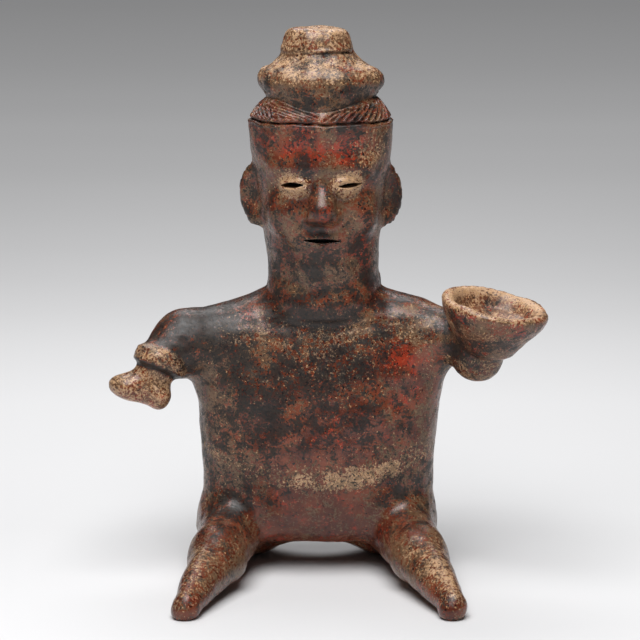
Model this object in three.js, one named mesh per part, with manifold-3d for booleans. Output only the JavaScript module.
// A seated figure of red slipped and burnished pottery, about 34 cm tall, with a small bowl in its left hand.
// The body is one smooth clay skin: trunk, limbs, neck and head flow into each other. Ears, nose, headdress,
// wristband and bowl are luted on to it, and the hair and the slits of the face are cut in. Fired, it is one
// piece. Millimetres, +Z up, the face looks along -Y, and the origin is under the middle of the figure's box.
import * as THREE from 'three';
import { mergeVertices } from 'three/addons/utils/BufferGeometryUtils.js';
import Module from 'manifold-3d';

const wasm = await Module();
wasm.setup();

// Driving dimensions. The pose and the free forms are shares of the figure's height, in units of 1/335 of it.
const figureHeight = 335;
const unit = figureHeight / 335;
const bowlRimRadius = 33;
const bowlMouthRadius = 26.5;
const bowlDepth = 13;
const bowlHeight = 34;
const collarRadius = 22;
const collarHeight = 14;
const bandRadius = 17;
const bandWidth = 13;
const eyeWidth = 16;
const eyeGap = 3.2;
const mouthWidth = 24;
const mouthGap = 3.4;
const slitDepth = 8;
const hairlineWidth = 2;
const hairlineDepth = 1.8;
const lockWidth = 1.8;
const lockDepth = 1.3;
const locksEachSide = 7;
const locksBehind = 7;
const earLength = 40;
const earThickness = 6.5;

const at = (x, y, z) => new THREE.Vector3(x, y, z).multiplyScalar(unit);
const level = (x, y, height) => at(x, y, 0).setZ(height);
const headAxis = at(0.5, 10.5, 0);

// Signed distances, below zero inside the clay.
function ball(p, centre, radii) {
  const q = p.clone().sub(centre);
  const near = q.clone().divide(radii).length();
  const steep = q.clone().divide(radii).divide(radii).length();
  return steep > 1e-9 ? (near * (near - 1)) / steep : -Math.min(radii.x, radii.y, radii.z);
}

function limb(p, from, to, fromRadius, toRadius) {
  const axis = to.clone().sub(from);
  const along = p.clone().sub(from);
  const share = THREE.MathUtils.clamp(along.dot(axis) / axis.lengthSq(), 0, 1);
  const spread = along.addScaledVector(axis, -share).length();
  return spread - THREE.MathUtils.lerp(fromRadius, toRadius, share) * unit;
}

// A column is a stack of oval sections: each holds its height, half width, half depth, middle X and middle Y.
function column(squareness, stations) {
  const heights = stations.map((s) => s[0] * unit);
  const sizes = stations.flatMap((s) => s.slice(1).map((v) => v * unit));
  const spline = new THREE.CubicInterpolant(heights, sizes, 4);
  const bottom = heights[0];
  const top = heights[heights.length - 1];
  return (p) => {
    const [halfWidth, halfDepth, middleX, middleY] = spline.evaluate(THREE.MathUtils.clamp(p.z, bottom, top));
    const across = Math.abs(p.x - middleX) / halfWidth;
    const deep = Math.abs(p.y - middleY) / halfDepth;
    const round = Math.max((across ** squareness + deep ** squareness) ** (1 / squareness), 1e-6);
    const slope = Math.hypot((across / round) ** (squareness - 1) / halfWidth,
      (deep / round) ** (squareness - 1) / halfDepth);
    return Math.max((round - 1) / slope, bottom - p.z, p.z - top);
  };
}

function blend(a, b, reach) {
  const radius = reach * unit;
  const h = Math.max(radius - Math.abs(a - b), 0) / radius;
  return Math.min(a, b) - (h * h * radius) / 4;
}

// Height, half width, half depth, middle X, middle Y.
const trunk = column(2.5, [
  [13, 26, 8, -2, 22], [16, 56, 19, -2.4, 20], [24, 73.2, 28, -2.6, 17], [38, 73.2, 34, -1.6, 14],
  [48, 71.8, 36.2, -1, 13.4], [58, 71.8, 37.5, -0.9, 13], [80, 72.5, 38, -1, 12.5], [104, 75, 36, -1, 12.5],
  [124, 80, 34, -1, 13], [140, 80, 31.5, -1, 13.5], [152, 76, 29, 0, 14], [161, 68.5, 26, 2.3, 14.5],
  [168, 53.5, 21, 3.2, 15], [173, 40, 15, 4.2, 15.5], [176, 26, 9, 4.2, 16],
]);

const neckAndHead = column(2.3, [
  [145, 36, 30, 2, 14], [158, 36, 31, 2, 13.5], [170, 35, 30, 2, 13.5], [184, 34, 28.5, 2, 13.5],
  [194, 34.5, 30, 2, 13], [206, 35.5, 31.5, 1.5, 12.5], [220, 37, 32.5, 1.5, 12], [236, 39, 33.5, 1, 11.5],
  [250, 41, 35, 1, 11], [264, 43, 36.5, 0.5, 10.5], [276, 44, 37.5, 0.5, 10.5], [281, 43.6, 37.5, 0.5, 10.5],
  [285, 41, 35, 0.5, 10.5], [290, 37, 31, 0.5, 10.5], [295, 31, 26, 0.5, 10.5],
]);

// Hip, knee and toe of each leg, then the feet, the buttocks, the arms with their hands and the face.
const legs = [
  [at(-55, 0, 25), at(-62, -45.5, 20.5), at(-77.5, -104.5, 8)],
  [at(51, 0, 25), at(60.4, -45.5, 21), at(76.8, -104.5, 8.6)],
];
const hipRadius = 20;
const kneeRadius = 17;
const toeRadius = 8.4;
const feet = [at(-79.5, -107, 4.2), at(76.9, -107, 4.2)];
const buttocks = [at(-48, 36, 21.5), at(44, 36, 21.5)];
const rightArm = [at(-60, 12, 142), at(-83, 3, 142), at(-97.5, -8, 134)];
const leftArm = [at(60, 12, 147), at(93, -6, 144)];
const openHand = at(-110, -14, 116.8);
const wrist = at(-97.3, -9, 133.2);
const fist = at(96, -13, 137);
const bowlRim = at(106, -20, 170);
const hairlineHeight = 280.5 * unit;
const browHeight = 250 * unit;
const eyeHeight = 243 * unit;
const noseHeight = 220 * unit;
const mouthHeight = 209 * unit;
const chinHeight = 193 * unit;
const eyeTurn = 0.47;

function hand(p) {
  const q = p.clone().sub(openHand).applyAxisAngle(new THREE.Vector3(0, 1, 0), THREE.MathUtils.degToRad(-11));
  let d = blend(ball(q, at(-3, 0, 0), at(16, 12, 9)), ball(q, at(12, -2, -1.5), at(7.5, 9.5, 8.5)), 5);
  d = blend(d, limb(p, wrist, at(-105, -12, 121), 13, 11), 6);
  return d;
}

function nose(p) {
  let d = limb(p, level(1, -16, browHeight + unit), level(1, -27.5, noseHeight + 8 * unit), 4.6, 8.2);
  for (const side of [-1, 1]) {
    d = blend(d, ball(p, level(1 + side * 5, -22.5, noseHeight + 3.5 * unit), at(5.6, 7, 4.8)), 5);
  }
  return d;
}

function body(p) {
  let d = blend(trunk(p), neckAndHead(p), 10);
  for (const [hip, knee, toe] of legs) {
    const thigh = limb(p, hip, knee, hipRadius, kneeRadius);
    d = blend(d, blend(thigh, limb(p, knee, toe, kneeRadius, toeRadius), 4), 14);
  }
  for (const foot of feet) d = blend(d, ball(p, foot, at(8, 8.4, 6.8)), 4);
  for (const lobe of buttocks) d = blend(d, ball(p, lobe, at(27, 24, 22.3)), 20);
  d = blend(d, limb(p, rightArm[0], rightArm[1], 22.5, 19.5), 13);
  d = blend(d, limb(p, rightArm[1], rightArm[2], 19, 14), 8);
  d = blend(d, limb(p, leftArm[0], leftArm[1], 21, 13.5), 12);
  d = blend(d, ball(p, fist, at(16, 15.5, 15.8)), 5);
  d = blend(d, ball(p, level(1, -12, chinHeight), at(15, 9, 10)), 9);
  d = blend(d, ball(p, level(1, -16, browHeight + 3 * unit), at(30, 9.5, 6)), 9);
  return blend(d, ball(p, level(1, -17, mouthHeight), at(15, 5.5, 6.5)), 5);
}

// Closes a skin of four-sided patches round the space where the field is below zero, one point for each grid
// cell that the surface crosses, drawn on to the surface along the field's own slope.
function skin(field, xs, ys, zs) {
  const [nx, ny, nz] = [xs.length, ys.length, zs.length];
  const node = (i, j, k) => (i * ny + j) * nz + k;
  const value = new Float64Array(nx * ny * nz);
  const p = new THREE.Vector3();
  for (let i = 0; i < nx; i++) for (let j = 0; j < ny; j++) for (let k = 0; k < nz; k++) {
    value[node(i, j, k)] = field(p.set(xs[i], ys[j], zs[k]));
  }
  const corner = (c) => [c & 1, (c >> 1) & 1, (c >> 2) & 1];
  const edges = [];
  for (let a = 0; a < 8; a++) for (const bit of [1, 2, 4]) if (!(a & bit)) edges.push([a, a | bit]);
  const points = [];
  const index = new Int32Array(nx * ny * nz).fill(-1);
  for (let i = 0; i < nx - 1; i++) for (let j = 0; j < ny - 1; j++) for (let k = 0; k < nz - 1; k++) {
    const sum = new THREE.Vector3();
    let crossings = 0;
    for (const [a, b] of edges) {
      const [ai, aj, ak] = corner(a);
      const [bi, bj, bk] = corner(b);
      const va = value[node(i + ai, j + aj, k + ak)];
      const vb = value[node(i + bi, j + bj, k + bk)];
      if (va < 0 === vb < 0) continue;
      const from = new THREE.Vector3(xs[i + ai], ys[j + aj], zs[k + ak]);
      const to = new THREE.Vector3(xs[i + bi], ys[j + bj], zs[k + bk]);
      sum.add(from.lerp(to, va / (va - vb)));
      crossings++;
    }
    if (!crossings) continue;
    index[node(i, j, k)] = points.length;
    const cell = new THREE.Box3(new THREE.Vector3(xs[i], ys[j], zs[k]),
      new THREE.Vector3(xs[i + 1], ys[j + 1], zs[k + 1])).expandByScalar(-0.2);
    points.push(drawnOn(field, sum.divideScalar(crossings), cell));
  }
  const faces = [];
  const quad = (a, b, c, d, flip) => {
    const turn = flip ? [a, d, c, b] : [a, b, c, d];
    const [q, r, s, t] = turn.map((n) => points[n]);
    const [e, f, g, h] = turn;
    if (q.distanceToSquared(s) < r.distanceToSquared(t)) faces.push(e, f, g, e, g, h);
    else faces.push(f, g, h, f, h, e);
  };
  for (let i = 1; i < nx - 1; i++) for (let j = 1; j < ny - 1; j++) for (let k = 1; k < nz - 1; k++) {
    const here = value[node(i, j, k)] < 0;
    const cell = (a, b, c) => index[node(i - a, j - b, k - c)];
    if (here !== value[node(i + 1, j, k)] < 0) {
      quad(cell(0, 0, 0), cell(0, 1, 0), cell(0, 1, 1), cell(0, 0, 1), !here);
    }
    if (here !== value[node(i, j + 1, k)] < 0) {
      quad(cell(0, 0, 0), cell(0, 0, 1), cell(1, 0, 1), cell(1, 0, 0), !here);
    }
    if (here !== value[node(i, j, k + 1)] < 0) {
      quad(cell(0, 0, 0), cell(1, 0, 0), cell(1, 1, 0), cell(0, 1, 0), !here);
    }
  }
  return patches(points, faces);
}

function patches(points, faces) {
  const flat = new Float32Array(points.flatMap((q) => [q.x, q.y, q.z]));
  return new THREE.BufferGeometry()
    .setAttribute('position', new THREE.BufferAttribute(flat, 3))
    .setIndex(faces);
}

function drawnOn(field, point, cell) {
  const step = 0.1;
  for (let turn = 0; turn < 4; turn++) {
    const d = field(point);
    const slope = new THREE.Vector3(
      field(point.clone().add(new THREE.Vector3(step, 0, 0))) - d,
      field(point.clone().add(new THREE.Vector3(0, step, 0))) - d,
      field(point.clone().add(new THREE.Vector3(0, 0, step))) - d,
    ).divideScalar(step);
    point.addScaledVector(slope, (-0.8 * d) / Math.max(slope.lengthSq(), 0.1)).clamp(cell.min, cell.max);
  }
  return point;
}

// Grid lines between two ends, about `spacing` apart in each named stretch.
function lines(start, ...stretches) {
  const made = [start * unit];
  let from = start;
  for (const [to, spacing] of stretches) {
    const count = Math.ceil((to - from) / spacing);
    for (let n = 1; n <= count; n++) made.push((from + ((to - from) * n) / count) * unit);
    from = to;
  }
  return made;
}

// A closed three.js geometry as a solid that can be joined and cut.
const solid = (geometry) => {
  const bare = geometry.clone();
  bare.deleteAttribute('normal');
  bare.deleteAttribute('uv');
  const merged = mergeVertices(bare, 1e-3);
  return new wasm.Manifold(new wasm.Mesh({
    numProp: 3,
    vertProperties: merged.attributes.position.array,
    triVerts: new Uint32Array(merged.index.array),
  }));
};

// Where the skin lies in a level direction from the head's axis. Turn 0 is the front, in radians towards +X.
function onHead(turn, height) {
  const out = new THREE.Vector3(Math.sin(turn), -Math.cos(turn), 0);
  const from = headAxis.clone().setZ(height);
  let [near, far] = [0, 80 * unit];
  for (let n = 0; n < 24; n++) {
    const middle = (near + far) / 2;
    if (body(from.clone().addScaledVector(out, middle)) < 0) near = middle;
    else far = middle;
  }
  return from.addScaledVector(out, near);
}

// A gouge is a three-sided blade swept through points of the skin, closed at its ends, or run in a ring.
function gouge(path, width, depth, ring = false) {
  const corners = [];
  path.forEach((point, n) => {
    const before = path[ring ? (n + path.length - 1) % path.length : Math.max(n - 1, 0)];
    const after = path[ring ? (n + 1) % path.length : Math.min(n + 1, path.length - 1)];
    const along = after.clone().sub(before).normalize();
    const out = point.clone().sub(headAxis).setZ(0).normalize();
    const side = new THREE.Vector3().crossVectors(out, along).normalize();
    const lip = point.clone().addScaledVector(out, 1.2);
    const half = (width / 2) * (1 + 1.2 / depth);
    corners.push(lip.clone().addScaledVector(side, half), lip.clone().addScaledVector(side, -half));
    corners.push(point.clone().addScaledVector(out, -depth));
  });
  const faces = [];
  const spans = ring ? path.length : path.length - 1;
  for (let n = 0; n < spans; n++) {
    const [here, there] = [n * 3, ((n + 1) % path.length) * 3];
    for (let c = 0; c < 3; c++) {
      const d = (c + 1) % 3;
      faces.push(here + c, there + c, there + d, here + c, there + d, here + d);
    }
  }
  const last = (path.length - 1) * 3;
  if (!ring) faces.push(0, 1, 2, last, last + 2, last + 1);
  const blade = solid(patches(corners, faces));
  return blade.volume() > 0 ? blade : solid(patches(corners, faces.reverse()));
}

// A turned piece: points of its profile as radius and height, outside from the foot up, then back in.
function turned(points, segments, place) {
  const profile = points.map(([r, z]) => new THREE.Vector2(r, z));
  const geometry = new THREE.LatheGeometry(profile, segments);
  geometry.rotateX(Math.PI / 2);
  return solid(geometry.applyMatrix4(place));
}

function pose(origin, up) {
  const turn = new THREE.Quaternion().setFromUnitVectors(new THREE.Vector3(0, 0, 1), up.normalize());
  return new THREE.Matrix4().compose(origin, turn, new THREE.Vector3(1, 1, 1));
}

// The bowl: rounded rim, shallow inside, and a stepped underside that narrows into the fist.
const r = bowlRimRadius;
const h = bowlHeight;
const bowl = turned([
  [0, -h], [0.4 * r, -0.94 * h], [0.52 * r, -0.84 * h], [0.79 * r, -0.46 * h], [0.84 * r, -0.41 * h],
  [0.93 * r, -0.26 * h], [r, -0.04 * h], [0.96 * r, 0.05 * h], [0.87 * r, 0.05 * h],
  [bowlMouthRadius, -0.05 * h], [0.66 * r, -0.68 * bowlDepth], [0.36 * r, -0.94 * bowlDepth], [0, -bowlDepth],
], 28, pose(bowlRim, new THREE.Vector3(0.174, -0.105, 0.979)));

// The roll of clay round the right wrist.
const b = bandRadius;
const w = bandWidth / 2;
const band = turned([
  [0, -w], [0.72 * b, -w], [0.9 * b, -0.72 * w], [b, -0.1 * w], [0.97 * b, 0.5 * w], [0.84 * b, 0.9 * w],
  [0.6 * b, w], [0, w],
], 18, pose(wrist, new THREE.Vector3(0.37, 0.25, 0.9)));

// The headdress: a squat padded roll that droops to a point over the forehead, with a closed collar on top.
function headdress() {
  const segments = 30;
  const neck = figureHeight - collarHeight - unit;
  // Each ring: half width, half depth and height, then how far its front hangs down and how far it leans out.
  const roll = [
    [28.5, 25, 288, 5, 0], [31.8, 28.5, 290.5, 6.2, 1.5], [34.5, 31, 294.8, 4.5, 1.5],
    [38.2, 33.5, 300.8, 1, 1], [38.2, 33.5, 305, 0, 0.5], [35, 31, 309.5, 0, 0],
  ].map((ring) => ring.map((size) => size * unit));
  const shoulder = [[7, 4.5, 7], [3, 2, 3.5], [0.6, 0.6, 0]].map(([wider, deeper, lower]) => (
    [collarRadius + wider, collarRadius + deeper, neck - lower, 0, 0]));
  const collar = [[1, 0.04], [0.94, 0.45], [0.88, 0.85], [0.74, 1]].map(([width, rise]) => (
    [collarRadius * width, collarRadius * width, neck + collarHeight * rise, 0, 0]));
  const rings = [...roll, ...shoulder, ...collar];
  const lean = (height) => at(height > neck - 2 ? -1 : 0.5, 10.5, 0);
  const points = rings.flatMap(([halfWidth, halfDepth, height, hang, jut]) => (
    Array.from({ length: segments }, (_, s) => {
      const turn = (s / segments) * 2 * Math.PI;
      const droop = Math.max(Math.cos(turn), 0) ** 3;
      const deep = halfDepth + jut * droop;
      const out = new THREE.Vector3(halfWidth * Math.sin(turn), -deep * Math.cos(turn), height - hang * droop);
      return out.add(lean(height));
    })));
  const last = points.length;
  points.push(at(0.5, 10.5, 288), lean(figureHeight).setZ(figureHeight));
  const faces = [];
  const top = last - segments;
  for (let s = 0; s < segments; s++) {
    const next = (s + 1) % segments;
    for (let lower = 0; lower < top; lower += segments) {
      const upper = lower + segments;
      faces.push(lower + s, lower + next, upper + next, lower + s, upper + next, upper + s);
    }
    faces.push(last, next, s, last + 1, top + s, top + next);
  }
  return solid(patches(points, faces));
}

// Ears are rounded flaps with a shallow hollow in front. Pads of slip clay stand round the eyes.
function ear(side) {
  const place = new THREE.Matrix4()
    .makeTranslation(at(0.5 + side * 38.5, 8, 233))
    .multiply(new THREE.Matrix4().makeRotationZ(-side * 0.95));
  const flap = new THREE.SphereGeometry(1, 11, 8).rotateX(Math.PI / 2)
    .scale(earThickness / 2, 14 * unit, earLength / 2).applyMatrix4(place);
  const hollow = new THREE.SphereGeometry(1, 8, 5).rotateX(Math.PI / 2)
    .scale(2.2, 8.5 * unit, earLength / 2 - 6).translate((side * earThickness) / 2, 1, 0).applyMatrix4(place);
  return solid(flap).subtract(solid(hollow));
}

function pad(side) {
  const centre = onHead(side * eyeTurn, eyeHeight);
  const out = centre.clone().sub(headAxis).setZ(0).normalize();
  const disc = new THREE.SphereGeometry(1, 14, 6).scale(eyeWidth * 0.68, eyeWidth * 0.52, 4.2);
  return solid(disc.applyMatrix4(frame(centre.addScaledVector(out, -2.2), out)));
}

function frame(origin, out) {
  const up = new THREE.Vector3(0, 0, 1);
  const across = new THREE.Vector3().crossVectors(up, out).normalize();
  return new THREE.Matrix4().makeBasis(across, up, out).setPosition(origin);
}

// A slit with pointed ends, pressed in along the way the skin faces.
function slit(turn, height, width, gap) {
  const lens = new THREE.Shape();
  lens.moveTo(-width / 2, 0);
  lens.quadraticCurveTo(0, -gap, width / 2, 0);
  lens.quadraticCurveTo(0, gap, -width / 2, 0);
  const clear = 8;
  const depth = slitDepth + clear;
  const blade = new THREE.ExtrudeGeometry(lens, { depth, bevelEnabled: false, curveSegments: 7 });
  const centre = onHead(turn, height);
  const out = centre.clone().sub(headAxis).setZ(0).normalize();
  return solid(blade.translate(0, 0, -slitDepth).applyMatrix4(frame(centre, out)));
}

// The cut line round the hair, and the locks that fan out of its middle over the forehead.
function hairCuts() {
  const cuts = [];
  const ring = [];
  for (let n = 0; n < 24; n++) {
    const turn = (n / 24) * 2 * Math.PI;
    ring.push(onHead(turn, hairlineHeight - 0.8 * unit * Math.max(Math.cos(turn), 0)));
  }
  cuts.push(gouge(ring, hairlineWidth, hairlineDepth, true));
  const lock = (fromTurn, foot, toTurn, tip) => {
    const path = [[fromTurn, foot], [toTurn, tip]].map(([turn, rise]) => (
      onHead(turn, hairlineHeight + rise * unit)));
    cuts.push(gouge(path, lockWidth, lockDepth));
  };
  for (const side of [-1, 1]) {
    for (let n = 0; n < locksEachSide; n++) {
      const share = n / (locksEachSide - 1);
      const foot = 0.05 + 1.25 * share;
      const reach = 0.42 - 0.12 * share;
      const drop = n % 2 ? 0.6 : 0;
      lock(side * foot, 1.4 + drop, side * (foot + reach), 4.9 + 6 * share ** 0.5);
    }
  }
  for (let n = 0; n < locksBehind; n++) {
    const turn = 1.9 + ((2 * Math.PI - 3.8) * n) / (locksBehind - 1);
    lock(turn, 1.9, turn + (turn < Math.PI ? 0.1 : -0.1), 10.5);
  }
  return cuts;
}

const bodySkin = skin(body,
  lines(-128, [-94, 9.5], [-48, 8.8], [-14, 8.2], [14, 6.5], [48, 8.2], [94, 8.8], [126, 9.5]),
  lines(-135, [-44, 10.2], [-10, 8], [68, 9.6]),
  lines(-16, [-6, 10], [4, 10], [40, 8], [104, 15], [176, 9], [196, 8], [252, 7], [300, 7.5]));
const handSkin = skin(hand, lines(-138, [-74, 5]), lines(-34, [14, 5]), lines(96, [156, 5]));
const noseSkin = skin(nose, lines(-14, [16, 3.8]), lines(-42, [-4, 4.6]),
  lines(noseHeight / unit - 8, [browHeight / unit + 14, 5]));

const added = [solid(handSkin), solid(noseSkin), bowl, band, headdress(), ear(-1), ear(1), pad(-1), pad(1)];
const ground = new THREE.BoxGeometry(2 * figureHeight, 2 * figureHeight, figureHeight);
const cut = [
  ...hairCuts(), slit(-eyeTurn, eyeHeight, eyeWidth, eyeGap), slit(eyeTurn, eyeHeight, eyeWidth, eyeGap),
  slit(0.02, mouthHeight, mouthWidth, mouthGap), solid(ground.translate(0, 0, -figureHeight / 2)),
];
const whole = wasm.Manifold.union([solid(bodySkin), ...added]).subtract(wasm.Manifold.union(cut));
// Crossing cuts can free a crumb of clay, which is left out.
const clay = whole.decompose().sort((one, other) => other.volume() - one.volume())[0];

const mesh = clay.getMesh();
const geometry = new THREE.BufferGeometry()
  .setAttribute('position', new THREE.BufferAttribute(new Float32Array(mesh.vertProperties), 3))
  .setIndex(new THREE.BufferAttribute(new Uint32Array(mesh.triVerts), 1));
geometry.computeBoundingBox();
const middle = geometry.boundingBox.getCenter(new THREE.Vector3());
geometry.translate(-middle.x, -middle.y, 0);
const figure = new THREE.Mesh(geometry, new THREE.MeshStandardMaterial({ color: 0x6b3a2a, roughness: 0.5 }));
figure.name = 'figure';
const group = new THREE.Group();
group.add(figure);
export default group;
